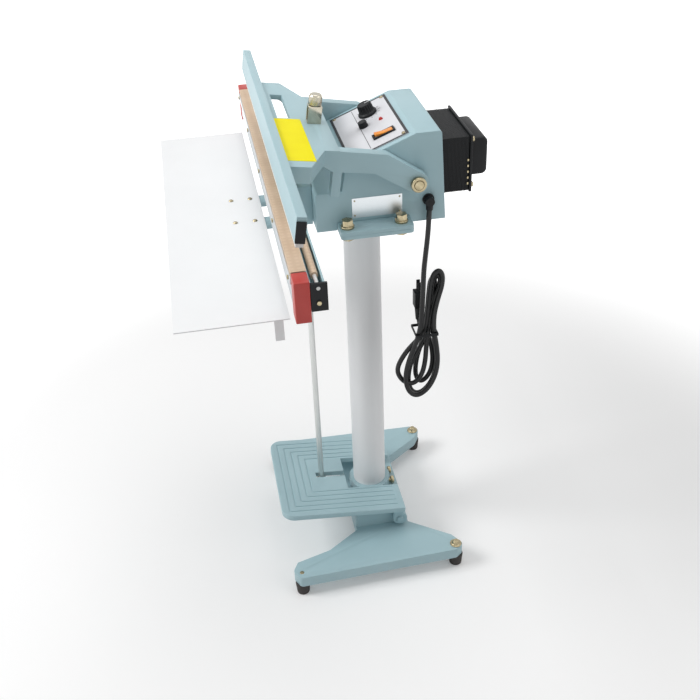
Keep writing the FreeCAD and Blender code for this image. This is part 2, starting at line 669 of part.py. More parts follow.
# Fixed lower jaw, its beam, the cloth roll and the work table
def make_lower_jaw():
    cloth_low = f"({seal_z} - cloth_thick)"
    bar_top = f"({cloth_low} - element_thick - clear_gap)"
    bar_low = f"({bar_top} - lower_height)"
    front = "(jaw_y - lower_width / 2)"
    bar = box("lower_bar", ("-lower_half", "lower_half"), (front, beam_front), (bar_low, bar_top))
    node("lower_jaw_bar", [bar])
    node("heating_element", [box("element_strip", ("-lower_half + 6", "lower_half - 6"),
                                 ("jaw_y - element_width / 2", "jaw_y + element_width / 2"),
                                 (bar_top, f"{bar_top} + element_thick"))])
    wrap = box("cloth_block", ("-lower_half + 2", "lower_half - 2"), (f"{front} - cloth_thick", beam_front),
               (f"{bar_top} - 16", seal_z))
    core = box("cloth_core", ("-lower_half", "lower_half"), (front, f"{beam_front} + 1"),
               (f"{bar_top} - 17", cloth_low))
    node("ptfe_cloth", [cut("cloth_sheet", wrap, [core])])
    strip = box("clamp_strip_bar", ("-lower_half + 2", "lower_half - 2"),
                (f"{front} - cloth_thick - 2", f"{front} - cloth_thick"), (f"{bar_top} - 15", f"{bar_top} - 4"))
    node("cloth_clamp_strip", [strip])
    screws = []
    spots = ("-lower_half + 12", "-lower_half / 2", "0", "lower_half / 2", "lower_half - 12")
    for index, across in enumerate(spots):
        screws.append(rod(f"strip_screw{index}", "y", (across, f"{bar_top} - 9.5"), "3",
                          (f"{front} - cloth_thick - 4", f"{front} - cloth_thick - 2")))
    caps = []
    for index, span in enumerate(sides("lower_half", "lower_half + cap_length")):
        caps.append(box(f"cap_block{index}", span, (f"{front} - 1", beam_front), (f"{seal_z} - cap_height", seal_z)))
    node("end_caps", caps)
    beam_low = f"({plate_top} + beam_lift)"
    beam_high = f"({beam_low} + beam_height)"
    channel = box("beam_block", (f"-{beam_half}", beam_half), (beam_front, beam_rear), (beam_low, beam_high))
    trough = box("beam_trough", (f"-{beam_half} - 1", f"{beam_half} + 1"),
                 (f"{beam_front} + beam_wall", f"{beam_rear} - beam_wall"),
                 (f"{beam_low} + beam_wall", f"{beam_high} + 1"))
    node("rear_beam", [cut("beam_channel", channel, [trough])])
    roll_y = f"({beam_front} + beam_width / 2)"
    roll_z = f"({beam_high} - 2)"
    plates = []
    for index, span in enumerate(sides(beam_half, f"{beam_half} + end_plate")):
        sheet = box(f"plate_sheet{index}", span, (f"{beam_front} + clear_gap", f"{beam_rear} + 1.5"),
                    (f"{beam_low} - 6", f"{beam_high} + 5"))
        hole = rod(f"plate_bearing{index}", "x", (roll_y, roll_z), "core_radius + running_gap",
                   (f"{span[0]} - 1", f"{span[1]} + 1"))
        plates.append(cut(f"roll_plate{index}", sheet, [hole]))
    node("roll_end_plates", plates)
    core_bar = rod("roll_core_bar", "x", (roll_y, roll_z), "core_radius",
                   (f"-{beam_half} - end_plate", f"{beam_half} + end_plate"))
    node("roll_core", [core_bar])
    roll_half = f"({beam_half} - roll_inset)"
    wound = rod("roll_winding", "x", (roll_y, roll_z), "roll_radius", (f"-{roll_half}", roll_half))
    hollow = rod("roll_bore", "x", (roll_y, roll_z), "core_radius", (f"-{roll_half} - 1", f"{roll_half} + 1"))
    node("ptfe_roll", [cut("roll_cloth", wound, [hollow])])
    for index, (low, high) in enumerate(sides(f"{beam_half} + end_plate", f"{beam_half} + end_plate + 2.5")):
        screws.append(rod(f"plate_bolt_head{index}", "x", (roll_y, f"{beam_low} + 6"), "3", (low, high)))
    node("lower_jaw_screws", screws)
    carriers = []
    for index, span in enumerate(sides("carrier_inner", "carrier_inner + carrier_width")):
        carriers.append(box(f"carrier_block{index}", span, (beam_rear, "-ledge_front"),
                            (f"{plate_top} - carrier_drop", f"{plate_top} + ledge_height - 1")))
    node("jaw_carriers", carriers)
    table_low = f"({table_top} - table_thick)"
    top_sheet = box("table_sheet", ("-table_half", "table_half"), ("-table_front", "-table_rear"),
                    (table_low, table_top))
    tabs = [top_sheet]
    for index, span in enumerate(sides("table_half - 2", "table_half")):
        tabs.append(box(f"table_tab{index}", span, ("-table_rear - 21", "-table_rear - 9"),
                        (f"{table_low} - 30", table_low)))
    node("work_table", [fuse("table_plate", tabs)])
    brackets = []
    bracket_screws = []
    for index, span in enumerate(sides("carrier_inner + 6", "carrier_inner + carrier_width - 6")):
        brackets.append(box(f"bracket_strap{index}", span, ("-table_rear - 60", "-ledge_front"),
                            (f"{table_low} - bracket_thick", table_low)))
        middle = f"(({span[0]}) + ({span[1]})) / 2"
        for step, along in enumerate(("-table_rear - 45", "-table_rear - 15")):
            bracket_screws.append(rod(f"table_screw{index}_{step}", "z", (middle, along), "4",
                                      (table_top, f"{table_top} + 2"), "2.6"))
    node("table_brackets", brackets)
    node("table_screws", bracket_screws)


make_lower_jaw()


# Hinged arm and upper jaw, drawn shut and about the pivot
def make_arm():
    def y(text):
        return f"({text}) - pivot_y"

    def z(text):
        return f"({text}) - {pivot_z}"

    def ys(low, high):
        return (y(low), y(high))

    def zs(low, high):
        return (z(low), z(high))

    half = "tongue_half"
    right = [
        (half, y(jaw_rear)),
        (half, y(f"{jaw_rear} + 31")),
        (arm_outer, y(f"{jaw_rear} + 59")),
        (arm_outer, y("-tongue_rear")),
    ]
    left = [(f"-({across})", along) for across, along in reversed(right)]
    plate = prism("tongue_plate", "z", right + left, zs(tongue_low, tongue_top))
    front_rib = box("tongue_front_rib", (f"-{half}", half), ys(jaw_rear, f"{jaw_rear} + 6"),
                    zs(skirt_low, tongue_top))
    pieces = [plate, front_rib]
    wall = "7"
    for index, sign in enumerate(("", "-")):
        rim = [
            (half, y(jaw_rear)),
            (half, y(f"{jaw_rear} + 31")),
            (arm_outer, y(f"{jaw_rear} + 59")),
            (arm_outer, y("-tongue_rear")),
            (f"{arm_outer} - {wall}", y("-tongue_rear")),
            (f"{arm_outer} - {wall}", y(f"{jaw_rear} + 55")),
            (f"{half} - {wall}", y(f"{jaw_rear} + 27")),
            (f"{half} - {wall}", y(jaw_rear)),
        ]
        flipped = [(f"{sign}({across})", along) for across, along in rim]
        pieces.append(prism(f"tongue_rim{index}", "z", flipped, zs(skirt_low, tongue_top)))
    side = [
        (y(f"{jaw_rear} + 59"), z(tongue_top)),
        (y("15"), z(f"{tongue_top} - 3")),
        ("0.31 * arm_end_radius", "0.95 * arm_end_radius"),
        ("-0.47 * arm_end_radius", "-0.88 * arm_end_radius"),
        (y("-1"), z(f"{skirt_low} - 8")),
        (y("-49"), z(f"{skirt_low} - 8")),
        (y("-49"), z(f"{skirt_low} - 46")),
        (y("-62"), z(f"{skirt_low} - 46")),
        (y("-62"), z(f"{skirt_low} - 8")),
        (y(f"{jaw_rear} + 59"), z(skirt_low)),
    ]
    for index, span in enumerate(sides(arm_inner, arm_outer)):
        pieces.append(prism(f"arm_side{index}", "x", side, span))
        pieces.append(rod(f"arm_end{index}", "x", ("0", "0"), "arm_end_radius", span))
    for index, span in enumerate(sides("eye_half + clear_gap", "eye_half + clear_gap + 7.5")):
        pieces.append(box(f"arm_lug{index}", span, ys("pin_y - 11", "pin_y + 11"), zs(f"{pin_z} - 9", tongue_low)))
    holes = [rod("arm_pivot_bore", "x", ("0", "0"), "pivot_radius + running_gap",
                 (f"-{arm_outer} - 1", f"{arm_outer} + 1"))]
    holes.append(rod("arm_pin_bore", "x", (y("pin_y"), z(pin_z)), "pin_radius", ("-14", "14")))
    for index, span in enumerate(sides("12", "118")):
        holes.append(box(f"tongue_window{index}", span, ys(f"{jaw_rear} + 8", f"{jaw_rear} + 27"),
                         zs(f"{tongue_low} - 1", f"{tongue_top} + 1")))
    holes.append(rod("adjuster_hole", "z", ("0", y("-75.8")), "4", zs(f"{tongue_low} - 1", f"{tongue_top} + 1")))
    node("arm_casting", [cut("arm_cast", fuse("arm_block", pieces), holes)], "arm")
    pin = rod("clevis_bar", "x", (y("pin_y"), z(pin_z)), "pin_radius", ("-15", "15"))
    node("clevis_pin", [pin], "arm")
    bar_low = f"({seal_z} + rubber_height)"
    bar_high = f"({bar_low} + upper_height)"
    tube = box("upper_bar_block", ("-upper_half", "upper_half"), ys(jaw_front, jaw_rear), zs(bar_low, bar_high))
    hollow = box("upper_bar_hollow", ("-upper_half - 1", "upper_half + 1"),
                 ys(f"{jaw_front} + 2", f"{jaw_rear} - 2"), zs(f"{bar_low} + 2", f"{bar_high} - 2"))
    node("upper_jaw_bar", [cut("upper_bar", tube, [hollow])], "arm")
    plugs = []
    for index, (low, high) in enumerate(sides("upper_half", "upper_half + 2")):
        cap = box(f"plug_cap{index}", (low, high), ys(jaw_front, jaw_rear), zs(bar_low, f"{bar_high} - 6"))
        stem_span = sides("upper_half - 14", "upper_half")[index]
        stem = box(f"plug_stem{index}", stem_span, ys(f"{jaw_front} + 2", f"{jaw_rear} - 2"),
                   zs(f"{bar_low} + 2", f"{bar_high} - 8"))
        plugs.append(fuse(f"jaw_plug{index}", [cap, stem]))
    node("upper_jaw_plugs", plugs, "arm")
    rubber = box("rubber_bar", ("-upper_half", "upper_half"),
                 ys("jaw_y - rubber_width / 2", "jaw_y + rubber_width / 2"), zs(seal_z, bar_low))
    node("silicone_strip", [rubber], "arm")
    label = box("label_sheet", ("-label_left", "label_right"), ys(f"{jaw_rear} + 1", f"{jaw_rear} + 1 + label_depth"),
                zs(tongue_top, f"{tongue_top} + 0.4"))
    node("arm_label", [label], "arm")
    bolts = []
    for index, across in enumerate(both("jaw_bolt_inner") + both("jaw_bolt_outer")):
        bolts.append(rod(f"jaw_bolt{index}", "y", (across, z(f"{skirt_low} + 8")), "4.5",
                         ys(f"{jaw_rear} + 6", f"{jaw_rear} + 11")))
    node("upper_jaw_bolts", bolts, "arm")
    clip = box("clip_block", ("-9", "9"), ys("-86", "-65.6"), zs(tongue_top, f"{tongue_top} + 26"))
    throat = box("clip_throat", ("-6.5", "6.5"), ys("-87", "-64"), zs(f"{tongue_top} + 2.5", f"{tongue_top} + 23.5"))
    shank_hole = rod("clip_hole", "z", ("0", y("-75.8")), "4 + running_gap",
                     zs(f"{tongue_top} - 1", f"{tongue_top} + 27"))
    node("adjuster_clip", [cut("clip_shape", clip, [throat, shank_hole])], "arm")
    screw = fuse("adjuster_shape", [
        rod("adjuster_stud", "z", ("0", y("-75.8")), "4 - running_gap",
            zs(f"{tongue_low} - 8", f"{tongue_top} + 30")),
        rod("adjuster_head", "z", ("0", y("-75.8")), "10",
            zs(f"{tongue_top} + 26 + clear_gap", f"{tongue_top} + 43")),
    ])
    node("adjusting_screw", [screw], "arm")


make_arm()


# Pull rod, drawn about its top pin
def make_rod():
    slope = "tan(pedal_tilt * 1 deg)"
    under = f"({axle_z} + (axle_y - {pin_open_y}) * {slope} + pedal_rise / cos(pedal_tilt * 1 deg))"
    washer_top = f"({under} - 12 * {slope} - clear_gap - {pin_open_z})"
    bar = rod("pull_bar", "z", ("0", "0"), "rod_radius", (f"{washer_top} - 14", "-eye_radius + 1"))
    eye = rod("pull_eye", "x", ("0", "0"), "eye_radius", ("-eye_half", "eye_half"))
    hole = rod("pull_eye_bore", "x", ("0", "0"), "pin_radius + running_gap", ("-eye_half - 1", "eye_half + 1"))
    node("pull_rod", [cut("pull_shape", fuse("pull_block", [bar, eye]), [hole])], "rod")
    washer = rod("rod_nut_flange", "z", ("0", "0"), "11", (f"{washer_top} - 2.5", washer_top))
    nut = hexagon("rod_nut_block", ("0", "0"), "9", (f"{washer_top} - 11", f"{washer_top} - 2.5"))
    nut_hole = rod("rod_nut_hole", "z", ("0", "0"), "rod_radius", (f"{washer_top} - 12", f"{washer_top} + 1"))
    node("rod_nut", [cut("rod_nut_shape", fuse("rod_nut_solid", [washer, nut]), [nut_hole])], "rod")


make_rod()


# Power cord: gland on the housing's side, a short drop, a tied hank and its plug
def make_cord():
    gland = fuse("gland_shape", [
        rod("gland_flange", "x", (gland_y, gland_z), "cord_radius + 5", ("housing_half", "housing_half + 2.5")),
        rod("gland_body", "x", (gland_y, gland_z), "cord_radius + 3",
            ("housing_half - housing_wall", f"{cord_turn_x} + 5.5")),
        rod("gland_boot", "z", (cord_turn_x, gland_y), "cord_radius + 1.2", (f"{gland_z} - boot_length", gland_z),
            "cord_radius + 2"),
    ])
    cord_bore = rod("gland_bore", "z", (cord_turn_x, gland_y), "cord_radius",
                    (f"{gland_z} - boot_length - 1", f"{gland_z} - cord_sink"))
    node("cord_gland", [cut("gland_bored", gland, [cord_bore])])


make_cord()


# The cord's tube and hank keep the places that were chosen for them by hand
def tube_along(points, radius):
    vectors = [FreeCAD.Vector(*point) for point in points]
    edges = []
    start = vectors[0]
    for before, middle, after in zip(vectors, vectors[1:], vectors[2:]):
        turn = (middle - before).getAngle(after - middle)
        reach = 0.45 * min((middle - before).Length, (after - middle).Length)
        print("cord bend radius", round(reach / math.tan(turn / 2), 1))
        into = middle + (before - middle).normalize() * reach
        out = middle + (after - middle).normalize() * reach
        bisector = ((into - middle).normalize() + (out - middle).normalize()).normalize()
        bend = reach / math.tan(turn / 2)
        centre = middle + bisector * (bend / math.cos(turn / 2))
        halfway = centre + (middle - centre).normalize() * bend
        edges.append(Part.LineSegment(start, into).toShape())
        edges.append(Part.Arc(into, halfway, out).toShape())
        start = out
    edges.append(Part.LineSegment(start, vectors[-1]).toShape())
    path = Part.Wire(edges)
    first = Part.Circle(vectors[0], vectors[1] - vectors[0], radius).toShape()
    tube = path.makePipeShell([Part.Wire(first)], True, False)
    print("cord tube volume ratio", round(tube.Volume / (math.pi * radius ** 2 * path.Length), 4))
    return tube


def make_cord_run():
    shift = value(centre_shift)
    top_x = value(cord_turn_x)
    top_y = value(gland_y) + shift
    top_z = value(f"{gland_z} - cord_sink")
    hank_top = 588
    route = [
        (top_x, top_y, top_z),
        (top_x + 0.5, top_y - 1.5, 652),
        (top_x + 4, top_y - 6, 620),
        (top_x + 8, top_y - 9.5, hank_top),
    ]
    tube = doc.addObject("Part::Feature", "cord_drop")
    tube.Shape = tube_along(route, value("cord_radius"))
    tube.Label = "cord_drop"
    nodes.append(tube)
    hank_x = (top_x - 11, top_x + 22)
    outline = [
        (55, 343), (73, 338), (93, 352), (104, 384), (106, 415), (101, 450), (95, 468), (95, 478), (96, 503),
        (101, 530), (109, 556), (110, 576), (104, hank_top), (71, hank_top), (68, 560), (67, 510), (62, 478),
        (62, 468), (43, 442), (29, 415), (28, 393), (38, 372),
    ]
    corners = [FreeCAD.Vector(hank_x[0], y + shift, z) for y, z in outline + outline[:1]]
    hank = doc.addObject("Part::Feature", "cord_hank")
    hank.Shape = Part.Face(Part.makePolygon(corners)).extrude(FreeCAD.Vector(hank_x[1] - hank_x[0], 0, 0))
    hank.Label = "cord_hank"
    nodes.append(hank)
    tie_y = (60, 97)
    tie_z = (470, 475)
    ring = Part.makeBox(hank_x[1] - hank_x[0] + 4, tie_y[1] - tie_y[0], tie_z[1] - tie_z[0],
                        FreeCAD.Vector(hank_x[0] - 2, tie_y[0] + shift, tie_z[0]))
    tie = doc.addObject("Part::Feature", "cord_tie")
    tie.Shape = ring.cut(hank.Shape)
    tie.Label = "cord_tie"
    nodes.append(tie)
    plug_deep, plug_wide, plug_tall = 18, 16, 28
    plug_y = 67 + shift
    plug_z = 503
    plug_x = hank_x[0] - plug_deep
    grip = Part.makeBox(plug_deep, plug_wide, plug_tall, FreeCAD.Vector(plug_x, plug_y, plug_z))
    tail = Part.makeCone(5.2, 7, 24, FreeCAD.Vector(plug_x + plug_deep / 2, plug_y + plug_wide / 2, plug_z - 24))
    blades = [Part.makeBox(2, 6, 18, FreeCAD.Vector(plug_x + x, plug_y + 5, plug_z + plug_tall)) for x in (3, 13)]
    plug = doc.addObject("Part::Feature", "power_plug")
    plug.Shape = grip.fuse([tail] + blades).removeSplitter()
    plug.Label = "power_plug"
    nodes.append(plug)


make_cord_run()
doc.recompute()

failed = [piece.Label for piece in doc.Objects if {"Invalid", "Error"} & set(piece.State)]
broken = [piece.Label for piece in nodes if piece.Shape.isNull() or not piece.Shape.isValid()]
if failed or broken:
    raise RuntimeError(f"failed {failed} broken {broken}")
os.makedirs("parts", exist_ok=True)
for piece in nodes:
    solids = piece.Shape.Solids
    print(piece.Label, len(solids), round(piece.Shape.Volume / 1000, 2))
    piece.Shape.exportStep(os.path.join("parts", piece.Label + ".step"))
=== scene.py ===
import json
import math

import bmesh
import bpy
from mathutils import Matrix, Vector


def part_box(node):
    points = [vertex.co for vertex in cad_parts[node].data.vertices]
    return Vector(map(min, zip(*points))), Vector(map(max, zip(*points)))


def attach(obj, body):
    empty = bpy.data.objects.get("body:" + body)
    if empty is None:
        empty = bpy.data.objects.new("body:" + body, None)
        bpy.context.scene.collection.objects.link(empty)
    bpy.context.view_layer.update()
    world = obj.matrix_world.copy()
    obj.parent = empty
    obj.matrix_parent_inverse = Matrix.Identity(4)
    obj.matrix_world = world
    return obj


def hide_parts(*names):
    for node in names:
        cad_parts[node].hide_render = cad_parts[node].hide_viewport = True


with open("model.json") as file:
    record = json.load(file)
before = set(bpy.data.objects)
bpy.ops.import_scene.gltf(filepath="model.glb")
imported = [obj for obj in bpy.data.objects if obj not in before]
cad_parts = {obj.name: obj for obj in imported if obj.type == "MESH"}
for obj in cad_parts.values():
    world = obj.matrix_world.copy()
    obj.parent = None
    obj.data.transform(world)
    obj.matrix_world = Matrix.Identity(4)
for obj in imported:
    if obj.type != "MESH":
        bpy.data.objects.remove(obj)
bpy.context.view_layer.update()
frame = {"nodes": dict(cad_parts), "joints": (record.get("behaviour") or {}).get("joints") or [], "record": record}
scene = bpy.context.scene
print("frame loaded", len(frame["nodes"]), "nodes")

bodyOf = {}
for bodyName, members in frame["record"]["behaviour"]["bodies"].items():
    for member in members:
        bodyOf[member] = bodyName
slotOf = {entry["node"]: entry["material_slot"] for entry in frame["record"]["subparts"]}

# Camera: the photograph's place and direction, in metres
cameraView = {
    "focalPixels": 983.88,
    "imagePixels": 700,
    "sensor": 36.0,
    "clipEnd": 50,
    "place": (1.4035, -0.1955, 1.3277),
    "right": (0.18233, 0.98258, -0.03614),
    "up": (-0.54041, 0.13085, 0.83117),
    "forward": (-0.82141, 0.13201, -0.55484),
}


def makeCamera():
    data = bpy.data.cameras.new("photoCamera")
    data.sensor_width = cameraView["sensor"]
    data.lens = cameraView["focalPixels"] / cameraView["imagePixels"] * cameraView["sensor"]
    data.clip_end = cameraView["clipEnd"]
    camera = bpy.data.objects.new("photoCamera", data)
    turn = Matrix((cameraView["right"], cameraView["up"], [-v for v in cameraView["forward"]])).transposed()
    camera.matrix_world = Matrix.Translation(cameraView["place"]) @ turn.to_4x4()
    scene.collection.objects.link(camera)
    scene.camera = camera


makeCamera()
print("camera made")


# Colours are written as sRGB hex values
def colour(hexText):
    parts = [int(hexText[i:i + 2], 16) / 255 for i in (1, 3, 5)]
    linear = [c / 12.92 if c <= 0.04045 else ((c + 0.055) / 1.055) ** 2.4 for c in parts]
    return (*linear, 1)


# Adds a node, sets its properties and its sockets, and links what is given as a socket
def addNode(tree, kind, settings=None, **inputs):
    node = tree.nodes.new(kind)
    for name, setting in (settings or {}).items():
        setattr(node, name, setting)
    for name, wanted in inputs.items():
        key = int(name[1:]) if name[0] == "n" and name[1:].isdigit() else name.replace("_", " ")
        socket = node.inputs[key]
        if isinstance(wanted, bpy.types.NodeSocket):
            tree.links.new(wanted, socket)
        else:
            socket.default_value = wanted
    return node


def startMaterial(name):
    material = bpy.data.materials.new(name)
    material.use_nodes = True
    tree = material.node_tree
    shader = tree.nodes["Principled BSDF"]
    place = addNode(tree, "ShaderNodeTexCoord").outputs["Object"]
    return material, tree, shader, place


# Patterns are sized by a real length in millimetres: object coordinates are metres
def perMetre(millimetres):
    return 1000 / millimetres


# What all materials share: noise detail, how far roughness varies each way, bump depths in metres (grainDepth is
# a share of the grain), and the radians per unit of Blender's wave texture
surfaceRules = {"patchDetail": 3.0, "grainDetail": 2.0, "mottledSpread": (0.05, 0.07), "linedSpread": (0.06, 0.08),
                "grainDepth": 0.25, "lineDepth": 0.0003, "waveRate": 20}


def mixTones(tree, shader, share, look):
    tone = addNode(tree, "ShaderNodeMix", {"data_type": "RGBA"}, n0=share, n6=colour(look["dark"]),
                   n7=colour(look["light"]))
    tree.links.new(tone.outputs[2], shader.inputs["Base Color"])


def varyRoughness(tree, shader, share, middle, spread):
    rough = addNode(tree, "ShaderNodeMapRange", Value=share, To_Min=middle - spread[0], To_Max=middle + spread[1])
    tree.links.new(rough.outputs["Result"], shader.inputs["Roughness"])


def addBump(tree, shader, height, strength, depth):
    bump = addNode(tree, "ShaderNodeBump", Height=height, Strength=strength, Distance=depth)
    tree.links.new(bump.outputs["Normal"], shader.inputs["Normal"])


def setShine(shader, look, metalDefault):
    shader.inputs["Metallic"].default_value = look.get("metal", metalDefault)
    if "ior" in look:
        shader.inputs["IOR"].default_value = look["ior"]
    if "shine" in look:
        shader.inputs["Specular IOR Level"].default_value = look["shine"]


# Colour that drifts between two shades in patches, roughness with it, and a fine bump
def mottled(name, look):
    material, tree, shader, place = startMaterial(name)
    patches = addNode(tree, "ShaderNodeTexNoise", Vector=place, Scale=perMetre(look["patch"]),
                      Detail=surfaceRules["patchDetail"])
    mixTones(tree, shader, patches.outputs["Fac"], look)
    fine = addNode(tree, "ShaderNodeTexNoise", Vector=place, Scale=perMetre(look["grain"]),
                   Detail=surfaceRules["grainDetail"])
    varyRoughness(tree, shader, fine.outputs["Fac"], look["rough"], surfaceRules["mottledSpread"])
    bumpDepth = look["grain"] / 1000 * surfaceRules["grainDepth"]
    addBump(tree, shader, fine.outputs["Fac"], look["bump"], bumpDepth)
    setShine(shader, look, 0.0)
    return material


# Fine parallel marks across one axis: brushed or drawn metal, stacked laminations
def lined(name, look):
    material, tree, shader, place = startMaterial(name)
    stretch = addNode(tree, "ShaderNodeMapping", Vector=place, Scale=look["stretch"])
    marks = addNode(tree, "ShaderNodeTexNoise", Vector=stretch.outputs[0], Scale=perMetre(look["grain"]),
                    Detail=surfaceRules["patchDetail"])
    mixTones(tree, shader, marks.outputs["Fac"], look)
    varyRoughness(tree, shader, marks.outputs["Fac"], look["rough"], surfaceRules["linedSpread"])
    addBump(tree, shader, marks.outputs["Fac"], look["bump"], surfaceRules["lineDepth"])
    setShine(shader, look, 1.0)
    return material


# Plain weave: two crossing bands, drawn coarser than the real thread so that it shows
def woven(name, look):
    material, tree, shader, place = startMaterial(name)
    bands = []
    for direction in ("X", "Y"):
        bands.append(addNode(tree, "ShaderNodeTexWave", {"bands_direction": direction}, Vector=place,
                             Scale=perMetre(look["thread"]) / surfaceRules["waveRate"],
                             Distortion=look["wobble"]).outputs["Fac"])
    weave = addNode(tree, "ShaderNodeMath", {"operation": "MULTIPLY"}, n0=bands[0], n1=bands[1]).outputs[0]
    stain = addNode(tree, "ShaderNodeTexNoise", Vector=place, Scale=perMetre(look["patch"]),
                    Detail=surfaceRules["patchDetail"])
    blend = addNode(tree, "ShaderNodeMath", {"operation": "MULTIPLY_ADD"}, n0=weave, n1=look["weaveShare"],
                    n2=stain.outputs["Fac"]).outputs[0]
    mixTones(tree, shader, blend, look)
    addBump(tree, shader, weave, look["bump"], surfaceRules["lineDepth"])
    shader.inputs["Roughness"].default_value = look["rough"]
    return material


materials = {
    # Semi-gloss enamel sprayed on a sand casting: soft highlights, slight orange peel
    "green_grey_paint": mottled("greenGreyEnamel", {"dark": "#A1BFC6", "light": "#ADCAD1", "patch": 60, "grain": 1.6,
                                                    "rough": 0.42, "bump": 0.12, "ior": 1.5}),
    # Powder coat: even, matt white
    "white_paint": mottled("whitePowderCoat", {"dark": "#EBECED", "light": "#F1F2F3", "patch": 80, "grain": 1.2,
                                               "rough": 0.4, "bump": 0.08}),
    # Varnished transformer steel: black, half gloss, with the edges of the stacked sheets showing
    "black_paint": lined("varnishedLaminations", {"dark": "#0E0F11", "light": "#191B1E", "stretch": (0.05, 1, 0.05),
                                                  "grain": 1.6, "rough": 0.45, "bump": 0.5, "metal": 0.0,
                                                  "shine": 0.22}),
    # Moulded rubber: matt, a little dusty
    "rubber": mottled("mouldedRubber", {"dark": "#2E2B2A", "light": "#403C3A", "patch": 12, "grain": 0.8,
                                        "rough": 0.75, "bump": 0.2}),
    # Nickel plate on bolts: warm and bright
    "nickel": mottled("nickelPlate", {"dark": "#8F8468", "light": "#B8AD90", "patch": 8, "grain": 0.6, "rough": 0.26,
                                      "bump": 0.05, "metal": 1.0}),
    # Bright zinc on drawn bar: pale, with marks along its length
    "zinc": lined("brightZincBar", {"dark": "#C2C5C4", "light": "#E0E2E0", "stretch": (1, 1, 0.04), "grain": 1.2,
                                    "rough": 0.34, "bump": 0.05}),
    "chrome": mottled("polishedChrome", {"dark": "#A8A290", "light": "#CFC9B9", "patch": 10, "grain": 0.8,
                                         "rough": 0.14, "bump": 0.02, "metal": 1.0}),
    # Extruded aluminium as it leaves the die: fine lines along X
    "aluminium": lined("extrudedAluminium", {"dark": "#C3C8CB", "light": "#DCE0E2", "stretch": (0.03, 1, 1),
                                             "grain": 1.0, "rough": 0.36, "bump": 0.05}),
    "steel": lined("turnedSteel", {"dark": "#8D8F92", "light": "#AEB0B2", "stretch": (1, 1, 0.1), "grain": 0.8,
                                   "rough": 0.34, "bump": 0.05}),
    "element": lined("nickelChromeStrip", {"dark": "#8F8A84", "light": "#B3ADA5", "stretch": (0.03, 1, 1), "grain": 0.8,
                                           "rough": 0.4, "bump": 0.05}),
    # PTFE-coated glass cloth: tan, waxy, with the weave just showing
    "tan_cloth": woven("ptfeGlassCloth", {"dark": "#CBAE90", "light": "#E4CBB1", "thread": 1.4, "patch": 30,
                                          "rough": 0.5, "wobble": 0.4, "weaveShare": 0.35, "bump": 0.25}),
    "white_silicone": mottled("whiteSilicone", {"dark": "#E2E2DF", "light": "#F0F0EE", "patch": 30, "grain": 1.0,
                                                "rough": 0.55, "bump": 0.06}),
    # Injection-moulded plastics: a spark-eroded grain on the knobs, a gloss skin on caps and switch
    "red_plastic": mottled("redMouldedPlastic", {"dark": "#B5342E", "light": "#C8443C", "patch": 25, "grain": 0.9,
                                                 "rough": 0.36, "bump": 0.08, "ior": 1.49}),
    "black_plastic": mottled("blackMouldedPlastic", {"dark": "#111214", "light": "#1B1D20", "patch": 15, "grain": 0.7,
                                                     "rough": 0.42, "bump": 0.12, "ior": 1.49, "shine": 0.22}),
    "orange_plastic": mottled("orangeMouldedPlastic", {"dark": "#E5830F", "light": "#F79C22", "patch": 14, "grain": 0.7,
                                                       "rough": 0.25, "bump": 0.04, "ior": 1.49}),
    "lamp_red": mottled("redLampLens", {"dark": "#A81A14", "light": "#D3302A", "patch": 4, "grain": 0.6, "rough": 0.15,
                                        "bump": 0.02, "ior": 1.49}),
    # Satin aluminium sheet, printed pale grey
    "panel_print": mottled("printedPanelSheet", {"dark": "#D3D4D8", "light": "#DFDFE3", "patch": 40, "grain": 0.8,
                                                 "rough": 0.38, "bump": 0.04}),
    "yellow_film": mottled("yellowVinylFilm", {"dark": "#F2E200", "light": "#FBEF0A", "patch": 30, "grain": 1.0,
                                               "rough": 0.5, "bump": 0.06, "shine": 0.15}),
    # PVC sheath: black, half gloss
    "cord_pvc": mottled("blackPvcSheath", {"dark": "#101112", "light": "#1C1D1F", "patch": 18, "grain": 1.4,
                                           "rough": 0.35, "bump": 0.1, "ior": 1.53, "shine": 0.3}),
    "board_green": mottled("glassEpoxyBoard", {"dark": "#1E5A34", "light": "#2C7444", "patch": 6, "grain": 0.7,
                                               "rough": 0.45, "bump": 0.1}),
    # Dark print on the panel
    "panel_ink": mottled("blackScreenInk", {"dark": "#1B1C20", "light": "#2A2B30", "patch": 10, "grain": 0.8,
                                            "rough": 0.5, "bump": 0.04}),
}
for nodeName, nodeObject in frame["nodes"].items():
    nodeObject.data.materials.clear()
    nodeObject.data.materials.append(materials[slotOf[nodeName]])
print("materials made", len(materials))


def newPiece(name, mesh, body, slotName, standsFor=(), finish=None):
    piece = bpy.data.objects.new(name, mesh)
    scene.collection.objects.link(piece)
    mesh.materials.clear()
    mesh.materials.append(materials[finish or slotName])
    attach(piece, body)
    if standsFor:
        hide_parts(*standsFor)
    return piece


def evaluatedMesh(maker):
    graph = bpy.context.evaluated_depsgraph_get()
    return bpy.data.meshes.new_from_object(maker.evaluated_get(graph))


